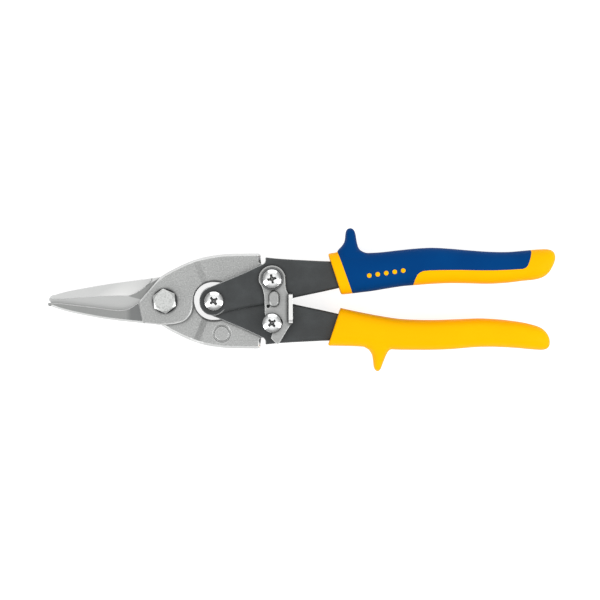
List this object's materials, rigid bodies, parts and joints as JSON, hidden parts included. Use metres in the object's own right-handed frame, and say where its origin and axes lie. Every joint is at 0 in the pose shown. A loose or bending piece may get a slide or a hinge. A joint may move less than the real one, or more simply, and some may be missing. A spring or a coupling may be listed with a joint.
{
  "type": "aviation snips",
  "caption": "Compound-leverage sheet metal snips: two bolted blades, two linked channel handles with moulded grips, a return spring and a swinging latch that holds them shut.",
  "frame": {"origin": "on the main pivot's axis, at the flush end of the pivot bolt and nut, which is the height the tool rests on", "axes": "+X from the main pivot along the tool to the grips, +Z along the pivot axes towards the bolt's head, +Y across the tool towards the upper handle"},
  "size_m": [0.2522, 0.0712, 0.0246],
  "materials": {
    "jaw_steel": "satin, ground and tumbled",
    "pivot_bolt": "zinc plated, cast top",
    "washer": "zinc plated",
    "nut": "zinc plated",
    "handle_steel": "dark grey phosphate, satin",
    "screw": "bright plated",
    "bush": "plain",
    "spring_steel": "oiled spring wire",
    "latch_steel": "plated, brushed",
    "grip_yellow": "fine moulded texture",
    "grip_blue": "soft-touch, fine texture"
  },
  "bodies": {
    "front_jaw": {"front_jaw": "jaw_steel", "pivot_bolt": "pivot_bolt", "pivot_washer": "washer", "pivot_back_washer": "washer", "pivot_nut": "nut"},
    "back_jaw": {"back_jaw": "jaw_steel"},
    "upper_handle": {"upper_handle": "handle_steel", "upper_grip_core": "grip_yellow", "upper_grip_overmould": "grip_blue", "handle_pivot_screw": "screw", "handle_pivot_front_washer": "washer", "handle_pivot_washer": "washer", "handle_pivot_nut": "nut", "spring_bush": "bush", "torsion_spring": "spring_steel", "upper_link_screw": "screw", "upper_arm_spacer": "washer", "upper_link_washer": "washer", "upper_link_nut": "nut", "latch_spring_washer": "washer"},
    "lower_handle": {"lower_handle": "handle_steel", "lower_grip": "grip_yellow", "lower_link_screw": "screw", "lower_arm_spacer": "washer", "lower_link_nut": "nut"},
    "latch": {"latch_plate": "latch_steel"}
  },
  "joints": [
    {"name": "jaw_opening", "type": "hinge", "parent": "front_jaw", "child": "back_jaw", "pos_m": [0, 0, 0.01], "axis": [0, 0, -1], "range_deg": [0, 20], "deforming": ["torsion_spring"]},
    {"name": "upper_handle_link", "type": "hinge", "parent": "front_jaw", "child": "upper_handle", "pos_m": [0.0533, 0.01095, 0.01], "axis": [0, 0, 1], "range_deg": [0, 9.5]},
    {"name": "lower_handle_link", "type": "hinge", "parent": "back_jaw", "child": "lower_handle", "pos_m": [0.0533, -0.01095, 0.01], "axis": [0, 0, -1], "range_deg": [0, 9.5]},
    {"name": "latch_swing", "type": "hinge", "parent": "upper_handle", "child": "latch", "pos_m": [0.0533, 0.01095, 0.017], "axis": [0, 0, 1], "range_deg": [-8, 45]}
  ],
  "couplings": [
    {"joint": "upper_handle_link", "follows": "jaw_opening", "ratio": 0.473},
    {"joint": "lower_handle_link", "follows": "jaw_opening", "ratio": 0.473}
  ]
}
